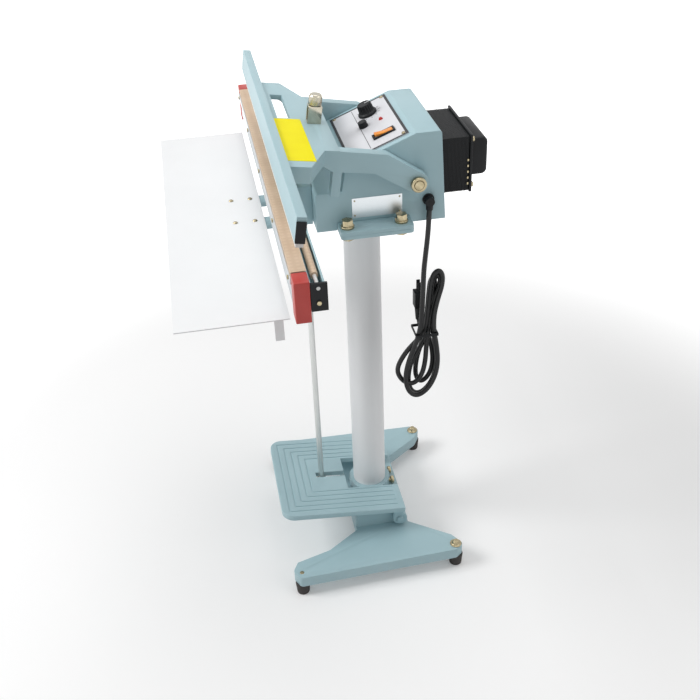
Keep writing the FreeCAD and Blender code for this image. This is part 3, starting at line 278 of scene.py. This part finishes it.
# The frame's hard pieces with their edges broken, as a casting, pressing or moulding has them.
# Widths are millimetres.
edgeBreaks = {
    "base_casting": 0.8, "foot_pedal": 0.4, "housing_shell": 0.8, "arm_casting": 0.6, "column_flange": 0.6,
    "housing_base_plate": 0.6, "rubber_feet": 2.0, "foot_screws": 0.9, "mount_bolts": 0.8, "pivot_nuts": 1.4,
    "column_clamp_bolts": 1.2, "upper_jaw_bar": 0.6, "upper_jaw_plugs": 0.6, "end_caps": 1.4, "rear_beam": 0.7,
    "lower_jaw_bar": 0.6, "roll_end_plates": 0.8, "jaw_carriers": 1.2, "table_brackets": 0.8, "transformer_core": 0.8,
    "transformer_flange": 0.8, "transformer_coil": 4.0, "transformer_screws": 0.8, "adjuster_clip": 0.7,
    "rocker_switch": 0.5, "switch_bezel": 0.5, "fuse_holder": 0.8, "cord_gland": 1.0, "power_plug": 0.5,
    "cord_tie": 0.8, "panel_screws": 0.4, "rod_nut": 0.3, "cloth_clamp_strip": 0.4, "upper_jaw_bolts": 0.8,
    "lower_jaw_screws": 0.5, "table_screws": 0.4, "pivot_shaft": 1.0, "pedal_axle": 1.2, "clevis_pin": 0.6,
    "control_relay": 0.5, "micro_switch": 0.5,
}

# Pieces with small arcs, on which Blender's own limit would leave the edges sharp
wideEdges = {"housing_shell", "column_flange", "housing_base_plate"}
# Weld distance in metres, and angles in degrees: below flatAngle faces are one, above cornerAngle an edge is broken
edgeRules = {"weld": 0.00001, "flatAngle": 0.6, "cornerAngle": 32, "segments": 3}


def breakEdges(nodeName, width):
    mesh = frame["nodes"][nodeName].data.copy()
    shape = bmesh.new()
    shape.from_mesh(mesh)
    bmesh.ops.remove_doubles(shape, verts=shape.verts, dist=edgeRules["weld"])
    bmesh.ops.dissolve_limit(shape, angle_limit=math.radians(edgeRules["flatAngle"]), verts=shape.verts,
                             edges=shape.edges)
    for face in shape.faces:
        face.smooth = True
    shape.to_mesh(mesh)
    shape.free()
    maker = bpy.data.objects.new("edgeMaker", mesh)
    scene.collection.objects.link(maker)
    bevel = maker.modifiers.new("brokenEdges", "BEVEL")
    bevel.width = width / 1000
    bevel.segments = edgeRules["segments"]
    bevel.limit_method = "ANGLE"
    bevel.angle_limit = math.radians(edgeRules["cornerAngle"])
    bevel.use_clamp_overlap = nodeName not in wideEdges
    bevel.harden_normals = True
    finished = evaluatedMesh(maker)
    bpy.data.objects.remove(maker)
    return newPiece(nodeName + "_finished", finished, bodyOf[nodeName], slotOf[nodeName], [nodeName])


finishedPieces = {nodeName: breakEdges(nodeName, width) for nodeName, width in edgeBreaks.items()}
print("edges broken on", len(finishedPieces), "pieces")


# Power cord: a drop from the gland, then a hank of turns tied at its waist, then the plug. Each strand of
# the hank lies in its own layer, given by X, and its points are Y and Z. Millimetres.
cordFacts = {
    "diameter": 8,
    "order": 3,
    "stepsPerPoint": 6,
    "roundness": 5,
    "drop": [(103, 143, 689.5), (103.3, 142, 660), (104.5, 140, 635), (109, 135.5, 605), (113, 132, 580)],
    "strands": [
        (120, [(129.7, 554), (128, 514), (126, 484), (117, 452), (106, 424), (100, 391), (105.6, 363), (120, 351)]),
        (120, [(138, 362), (151, 387), (155.5, 416), (152.5, 449), (147.5, 477)]),
        (116, [(148.6, 503), (154, 531), (161, 555), (162, 574), (156, 584)]),
        (112, [(148, 576), (143.5, 558), (141.3, 533), (139.3, 507), (136.3, 476)]),
        (112, [(124, 459), (104, 438), (90, 413), (89.5, 396), (100, 378), (116, 371), (130, 386), (136, 413)]),
        (112, [(137.5, 446), (141, 473)]),
        (108, [(145.7, 504), (152, 531), (159.5, 551), (160.5, 566), (156, 573.5)]),
        (104, [(151, 562), (149, 540), (147.5, 514), (145, 472)]),
        (104, [(132, 442), (113.5, 412), (108, 376), (114, 351), (129, 344), (147, 361), (157, 391), (158.5, 416)]),
        (104, [(154, 447), (149, 470)]),
        (100, [(151, 498), (155.5, 529), (155, 552), (150.5, 563)]),
        (96, [(147, 555), (145, 533), (143, 503), (140, 472)]),
        (96, [(134, 442), (124.5, 410), (122.5, 377), (132, 361), (146.5, 373), (153.5, 400), (150.5, 434)]),
        (91, [(144, 455), (136, 463), (132.5, 470)]),
        (83, [(132, 479), (132, 486)]),
    ],
}


def makeCord():
    points = list(cordFacts["drop"])
    for across, strand in cordFacts["strands"]:
        points += [(across, along, height) for along, height in strand]
    points = [tuple(number / 1000 for number in point) for point in points]
    thick = cordFacts["diameter"] / 1000
    curve = bpy.data.curves.new("powerCord", "CURVE")
    curve.dimensions = "3D"
    spline = curve.splines.new("NURBS")
    spline.points.add(len(points) - 1)
    for place, point in zip(spline.points, points):
        place.co = (*point, 1)
    spline.order_u = cordFacts["order"]
    spline.use_endpoint_u = True
    spline.resolution_u = cordFacts["stepsPerPoint"]
    cord = bpy.data.objects.new("powerCord", curve)
    scene.collection.objects.link(cord)
    line = evaluatedMesh(cord)
    bpy.data.meshes.remove(line)
    curve.bevel_depth = thick / 2
    curve.bevel_resolution = cordFacts["roundness"]
    curve.use_fill_caps = True
    curve.materials.append(materials["cord_pvc"])
    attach(cord, "stand")
    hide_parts("cord_drop", "cord_hank")


makeCord()


# A Geometry Nodes tree with the inputs named, and the sockets that bring them in
def startTree(name, **inputs):
    tree = bpy.data.node_groups.new(name, "GeometryNodeTree")
    for label, kind in inputs.items():
        tree.interface.new_socket(label, in_out="INPUT", socket_type="NodeSocket" + kind)
    tree.interface.new_socket("Geometry", in_out="OUTPUT", socket_type="NodeSocketGeometry")
    return tree, addNode(tree, "NodeGroupInput").outputs


def endTree(tree, copies, material):
    real = addNode(tree, "GeometryNodeRealizeInstances", Geometry=copies.outputs[0])
    painted = addNode(tree, "GeometryNodeSetMaterial", Geometry=real.outputs[0], Material=material)
    addNode(tree, "NodeGroupOutput", Geometry=painted.outputs[0])
    return tree


# Small bars in a ring, for the marks of the dial
def ringTree(name, material):
    tree, asked = startTree(name, Count="Int", Radius="Float", Bar="Vector", Start="Float", Sweep="Float")
    points = addNode(tree, "GeometryNodePoints", Count=asked["Count"])
    index = addNode(tree, "GeometryNodeInputIndex").outputs[0]
    last = addNode(tree, "ShaderNodeMath", {"operation": "SUBTRACT"}, n0=asked["Count"], n1=1.0).outputs[0]
    share = addNode(tree, "ShaderNodeMath", {"operation": "DIVIDE"}, n0=index, n1=last).outputs[0]
    turn = addNode(tree, "ShaderNodeMath", {"operation": "MULTIPLY_ADD"}, n0=share, n1=asked["Sweep"],
                   n2=asked["Start"]).outputs[0]
    spin = addNode(tree, "ShaderNodeCombineXYZ", Z=turn).outputs[0]
    out = addNode(tree, "ShaderNodeCombineXYZ", X=asked["Radius"]).outputs[0]
    place = addNode(tree, "ShaderNodeVectorRotate", {"rotation_type": "EULER_XYZ"}, Vector=out,
                    Rotation=spin).outputs[0]
    spread = addNode(tree, "GeometryNodeSetPosition", Geometry=points.outputs[0], Position=place)
    bar = addNode(tree, "GeometryNodeMeshCube", Size=asked["Bar"])
    copies = addNode(tree, "GeometryNodeInstanceOnPoints", Points=spread.outputs[0], Instance=bar.outputs[0],
                     Rotation=spin)
    return endTree(tree, copies, material)


# Small bars in a row, for sheets, terminals and end walls
def rowTree(name, material):
    tree, asked = startTree(name, Count="Int", Step="Vector", Bar="Vector")
    line = addNode(tree, "GeometryNodeMeshLine", Count=asked["Count"], Offset=asked["Step"])
    bar = addNode(tree, "GeometryNodeMeshCube", Size=asked["Bar"])
    copies = addNode(tree, "GeometryNodeInstanceOnPoints", Points=line.outputs[0], Instance=bar.outputs[0])
    return endTree(tree, copies, material)


def grow(tree, **wanted):
    maker = bpy.data.objects.new("grower", bpy.data.meshes.new("grower"))
    scene.collection.objects.link(maker)
    modifier = maker.modifiers.new("grown", "NODES")
    modifier.node_group = tree
    for item in tree.interface.items_tree:
        if item.in_out == "INPUT" and item.name in wanted:
            modifier[item.identifier] = wanted[item.name]
    mesh = evaluatedMesh(maker)
    maker.modifiers.remove(modifier)
    bpy.data.objects.remove(maker)
    return mesh


# The control panel's own frame: X along the jaws, Y up the slope, Z out of the panel.
# The foot and the sheet's thickness are metres, the slope's rise and run millimetres.
panelPlace = {"foot": (0, 0.019, 0.759), "rise": 41.5, "run": 106.0, "thick": 0.0015}
panelTurn = Matrix.Rotation(math.atan2(panelPlace["rise"], panelPlace["run"]), 4, "X")
panelFrame = Matrix.Translation(panelPlace["foot"]) @ panelTurn


# A lathe shape about Z from rings of radius, height and whether it is ribbed, in millimetres
def turned(profile, steps, rib=None):
    shape = bmesh.new()
    rings = []
    for radius, height, ribbed in profile:
        ring = []
        for step in range(steps):
            angle = 2 * math.pi * step / steps
            reach = radius / 1000
            if rib and ribbed:
                reach *= 1 - rib["depth"] * (0.5 + 0.5 * math.cos(angle * rib["count"]))
            ring.append(shape.verts.new((reach * math.cos(angle), reach * math.sin(angle), height / 1000)))
        rings.append(ring)
    for low, high in zip(rings, rings[1:]):
        for step in range(steps):
            after = (step + 1) % steps
            shape.faces.new((low[step], low[after], high[after], high[step]))
    shape.faces.new(list(reversed(rings[0])))
    shape.faces.new(rings[-1])
    for face in shape.faces:
        face.smooth = len(face.verts) == 4
    mesh = bpy.data.meshes.new("turned")
    shape.to_mesh(mesh)
    shape.free()
    return mesh


def joinMeshes(meshes):
    shape = bmesh.new()
    for mesh in meshes:
        shape.from_mesh(mesh)
    whole = bpy.data.meshes.new("joined")
    shape.to_mesh(whole)
    shape.free()
    return whole


# A block of a given size about a given middle, in metres
def blockMesh(size, middle):
    shape = bmesh.new()
    bmesh.ops.create_cube(shape, size=1)
    mesh = bpy.data.meshes.new("block")
    shape.to_mesh(mesh)
    shape.free()
    mesh.transform(Matrix.Diagonal((*size, 1)))
    mesh.transform(Matrix.Translation(middle))
    return mesh


# Timer knob: skirt, ribbed grip and a white pointer. Millimetres.
knobShape = {
    "across": -42,
    "up": 67,
    "gap": 0.3,
    "height": 18.0,
    "rings": [(14.2, 0, 0), (15.0, 0.8, 0), (15.0, 2.6, 0), (14.0, 4.0, 0), (12.8, 4.6, 0), (12.2, 5.4, 1),
              (11.8, 11, 1), (11.3, 16.4, 1), (10.4, 17.6, 0), (9.0, 18.0, 0), (8.0, 17.5, 0)],
    "steps": 144,
    "ribs": {"count": 18, "depth": 0.09},
    "pointer": (1.2, 8.5, 0.6),
    "pointerOut": 6.2,
}


def makeKnob():
    mesh = turned(knobShape["rings"], knobShape["steps"], knobShape["ribs"])
    lift = panelPlace["thick"] + knobShape["gap"] / 1000
    place = panelFrame @ Matrix.Translation((knobShape["across"] / 1000, knobShape["up"] / 1000, lift))
    mesh.transform(place)
    newPiece("timer_knob_finished", mesh, "timer_knob", "black_plastic", ["timer_knob"])
    pointer = blockMesh([side / 1000 for side in knobShape["pointer"]],
                        (0, knobShape["pointerOut"] / 1000, knobShape["height"] / 1000))
    pointer.transform(place)
    newPiece("timer_pointer", pointer, "timer_knob", "white_paint")


makeKnob()


# Adjusting screw: knurled head on a stud, standing on the arm's own slope. Millimetres along its axis.
screwShape = {
    "headRings": [(8.6, 26.3, 0), (9.6, 27.3, 0), (10.0, 27.9, 1), (10.0, 39.6, 1), (9.6, 40.2, 0), (8.8, 40.8, 0),
                  (8.8, 42.2, 0), (7.8, 43.0, 0)],
    "headSteps": 160,
    "knurls": {"count": 40, "depth": 0.06},
    "studLow": -15.5,
    "studHigh": 26.3,
    "studRadius": 3.9,
    "studSteps": 32,
    "threadDepth": 0.55,
    "pitch": 1.2,
}


def makeAdjuster():
    head = turned(screwShape["headRings"], screwShape["headSteps"], screwShape["knurls"])
    rungs = []
    height = screwShape["studLow"]
    while height < screwShape["studHigh"]:
        rungs.append((screwShape["studRadius"], height, 0))
        rungs.append((screwShape["studRadius"] - screwShape["threadDepth"], height + screwShape["pitch"] / 2, 0))
        height += screwShape["pitch"]
    stud = turned(rungs, screwShape["studSteps"])
    mesh = joinMeshes([head, stud])
    joint = [j for j in frame["joints"] if j["name"] == "adjuster_turn"][0]
    axis = Vector(joint["axis"])
    turn = Vector((0, 0, 1)).rotation_difference(axis).to_matrix().to_4x4()
    mesh.transform(Matrix.Translation(joint["pos_m"]) @ turn)
    newPiece("adjusting_screw_finished", mesh, "adjuster", "chrome", ["adjusting_screw"])


makeAdjuster()


# Print on the panel: a dark border, a dividing line and a dial of plain marks. Millimetres and degrees.
panelPrint = {
    "half": 85,
    "low": 9,
    "high": 105,
    "border": 4.0,
    "divider": 46,
    "dividerHalf": 0.4,
    "dividerInset": 8,
    "proud": 0.12,
    "marks": 11,
    "markRadius": 19.5,
    "markSize": (3.4, 0.7),
    "markStart": -45,
    "markSweep": 270,
}


def flatBar(left, right, low, high):
    thick = panelPrint["proud"] / 1000
    return blockMesh(((right - left) / 1000, (high - low) / 1000, thick),
                     ((left + right) / 2000, (low + high) / 2000, panelPlace["thick"] + thick / 2))


def makePrint():
    half = panelPrint["half"]
    low = panelPrint["low"]
    high = panelPrint["high"]
    edge = panelPrint["border"]
    divider = panelPrint["divider"]
    lineHalf = panelPrint["dividerHalf"]
    lineEnd = half - panelPrint["dividerInset"]
    thick = panelPrint["proud"] / 1000
    bars = [
        flatBar(-half, half, low, low + edge),
        flatBar(-half, half, high - edge, high),
        flatBar(-half, -half + edge, low + edge, high - edge),
        flatBar(half - edge, half, low + edge, high - edge),
        flatBar(-lineEnd, lineEnd, divider - lineHalf, divider + lineHalf),
    ]
    markBar = (*(side / 1000 for side in panelPrint["markSize"]), thick)
    marks = grow(ringTree("dialMarks", materials["panel_ink"]), Count=panelPrint["marks"],
                 Radius=panelPrint["markRadius"] / 1000, Bar=markBar, Start=math.radians(panelPrint["markStart"]),
                 Sweep=math.radians(panelPrint["markSweep"]))
    marks.transform(Matrix.Translation((knobShape["across"] / 1000, knobShape["up"] / 1000,
                                        panelPlace["thick"] + thick / 2)))
    whole = joinMeshes(bars + [marks])
    whole.transform(panelFrame)
    newPiece("panel_print", whole, "stand", "black_plastic", finish="panel_ink")


makePrint()


# Transformer: the edges of the stacked sheets stand a little proud, and a row of terminals is on each side.
# Millimetres.
stackShape = {
    "sheets": 20,
    "pitch": 2.1,
    "thick": 1.1,
    "proud": 0.5,
    "terminals": 5,
    "terminalPitch": 9.5,
    "terminalSize": (2.0, 2.2, 3.4),
    "terminalOut": 1.4,
    "terminalFront": 2.4,
    "terminalDown": 36,
}


def makeStack():
    low, high = (Vector(corner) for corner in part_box("transformer_core"))
    size = high - low
    pitch = stackShape["pitch"] / 1000
    proud = stackShape["proud"] / 1000
    bar = (size.x + 2 * proud, stackShape["thick"] / 1000, size.z + 2 * proud)
    mesh = grow(rowTree("coreSheets", materials["black_paint"]), Count=stackShape["sheets"], Step=(0, pitch, 0),
                Bar=bar)
    mesh.transform(Matrix.Translation((0, low.y + pitch, (low.z + high.z) / 2)))
    newPiece("transformer_sheets", mesh, "stand", "black_paint")
    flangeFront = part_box("transformer_flange")[0][1]
    terminalTree = rowTree("terminalRow", materials["nickel"])
    terminalBar = tuple(side / 1000 for side in stackShape["terminalSize"])
    along = flangeFront - stackShape["terminalFront"] / 1000
    top = high.z - stackShape["terminalDown"] / 1000
    rows = []
    for face, side in ((low.x, -1), (high.x, 1)):
        row = grow(terminalTree, Count=stackShape["terminals"], Step=(0, 0, -stackShape["terminalPitch"] / 1000),
                   Bar=terminalBar)
        row.transform(Matrix.Translation((face + side * stackShape["terminalOut"] / 1000, along, top)))
        rows.append(row)
    newPiece("transformer_terminals", joinMeshes(rows), "stand", "nickel")


makeStack()


# Upper jaw: the bar's wall above each black plug is closed. Millimetres with the jaw shut, and the degrees by which
# it stands open at rest.
jawEnds = {"pivot": (0, 122.6, 731.3), "open": 8.5, "reach": 343.3, "deep": 8, "middle": -85.5, "wide": 9,
           "low": 774.1, "high": 778.3}


def makeJawEnds():
    pivot = Vector(jawEnds["pivot"]) / 1000
    swing = Matrix.Translation(pivot) @ Matrix.Rotation(math.radians(-jawEnds["open"]), 4, "X")
    swing = swing @ Matrix.Translation(-pivot)
    size = (jawEnds["deep"] / 1000, jawEnds["wide"] / 1000, (jawEnds["high"] - jawEnds["low"]) / 1000)
    apart = 2 * jawEnds["reach"] / 1000 - size[0]
    mesh = grow(rowTree("jawEndRow", materials["green_grey_paint"]), Count=2, Step=(apart, 0, 0), Bar=size)
    mesh.transform(Matrix.Translation((-apart / 2, jawEnds["middle"] / 1000,
                                       (jawEnds["low"] + jawEnds["high"]) / 2000)))
    mesh.transform(swing)
    newPiece("upper_jaw_end_walls", mesh, "arm", "green_grey_paint")


makeJawEnds()


# Nameplate: bare, held by four small rivets. Millimetres.
rivetShape = {"inset": 4, "rings": [(1.5, 0, 0), (1.4, 0.4, 0), (0.9, 0.8, 0), (0.3, 0.95, 0)], "steps": 16}


def makeRivets():
    low, high = (Vector(corner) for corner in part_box("nameplate"))
    inset = rivetShape["inset"] / 1000
    heads = []
    for along in (low.y + inset, high.y - inset):
        for height in (low.z + inset, high.z - inset):
            head = turned(rivetShape["rings"], rivetShape["steps"])
            head.transform(Matrix.Translation((high.x, along, height)) @ Matrix.Rotation(math.pi / 2, 4, "Y"))
            heads.append(head)
    newPiece("nameplate_rivets", joinMeshes(heads), "stand", "nickel")


makeRivets()
print("details made")


# Pale floor that fades to white away from the part, soft lamps and a white background for the camera and for
# reflections. Lengths are metres.
stageLook = {"floor": "#EFEFEF", "floorSize": 30, "near": 0.75, "far": 1.7, "nearGlow": 0.16, "farGlow": 1.0,
             "worldLight": 0.34, "worldSeen": 1.0}
lamps = [
    {"name": "keyLamp", "place": (-0.1, -2.5, 2.5), "aim": (0, 0, 0.5), "size": 1.3, "watts": 54},
    {"name": "fillLamp", "place": (1.6, 2.3, 1.7), "aim": (0, 0, 0.5), "size": 1.8, "watts": 10},
    {"name": "topLamp", "place": (-0.2, 0.3, 3.2), "aim": (0, 0, 0.5), "size": 2.0, "watts": 26},
]


def seenRays(tree):
    path = addNode(tree, "ShaderNodeLightPath").outputs
    first = addNode(tree, "ShaderNodeMath", {"operation": "MAXIMUM"}, n0=path["Is Camera Ray"],
                    n1=path["Is Glossy Ray"])
    return addNode(tree, "ShaderNodeMath", {"operation": "MAXIMUM"}, n0=first.outputs[0],
                   n1=path["Is Transmission Ray"]).outputs[0]


def makeStage():
    mesh = bpy.data.meshes.new("paleFloor")
    half = stageLook["floorSize"] / 2
    mesh.from_pydata([(-half, -half, 0), (half, -half, 0), (half, half, 0), (-half, half, 0)], [], [(0, 1, 2, 3)])
    floor = bpy.data.objects.new("paleFloor", mesh)
    scene.collection.objects.link(floor)
    material = bpy.data.materials.new("paleFloorPaint")
    material.use_nodes = True
    tree = material.node_tree
    tree.nodes.clear()
    matt = addNode(tree, "ShaderNodeBsdfDiffuse", Color=colour(stageLook["floor"]))
    place = addNode(tree, "ShaderNodeTexCoord").outputs["Object"]
    reach = addNode(tree, "ShaderNodeVectorMath", {"operation": "LENGTH"}, n0=place).outputs["Value"]
    level = addNode(tree, "ShaderNodeMapRange", {"interpolation_type": "SMOOTHSTEP"}, Value=reach,
                    From_Min=stageLook["near"], From_Max=stageLook["far"], To_Min=stageLook["nearGlow"],
                    To_Max=stageLook["farGlow"]).outputs["Result"]
    strength = addNode(tree, "ShaderNodeMath", {"operation": "MULTIPLY"}, n0=seenRays(tree), n1=level)
    glow = addNode(tree, "ShaderNodeEmission", Strength=strength.outputs[0])
    both = addNode(tree, "ShaderNodeAddShader", n0=matt.outputs[0], n1=glow.outputs[0])
    addNode(tree, "ShaderNodeOutputMaterial", Surface=both.outputs[0])
    mesh.materials.append(material)
    world = bpy.data.worlds.new("whiteStudio")
    world.use_nodes = True
    scene.world = world
    tree = world.node_tree
    tree.nodes.clear()
    strength = addNode(tree, "ShaderNodeMapRange", Value=seenRays(tree), To_Min=stageLook["worldLight"],
                       To_Max=stageLook["worldSeen"])
    sky = addNode(tree, "ShaderNodeBackground", Color=(1, 1, 1, 1), Strength=strength.outputs[0])
    addNode(tree, "ShaderNodeOutputWorld", Surface=sky.outputs[0])


def makeLamps():
    for lamp in lamps:
        data = bpy.data.lights.new(lamp["name"], "AREA")
        data.energy = lamp["watts"]
        data.size = lamp["size"]
        light = bpy.data.objects.new(lamp["name"], data)
        light.location = lamp["place"]
        aim = Vector(lamp["aim"]) - Vector(lamp["place"])
        light.rotation_euler = aim.to_track_quat("-Z", "Y").to_euler()
        scene.collection.objects.link(light)


makeStage()
makeLamps()
scene.view_settings.view_transform = "Standard"
print("stage lit")

bpy.context.view_layer.update()
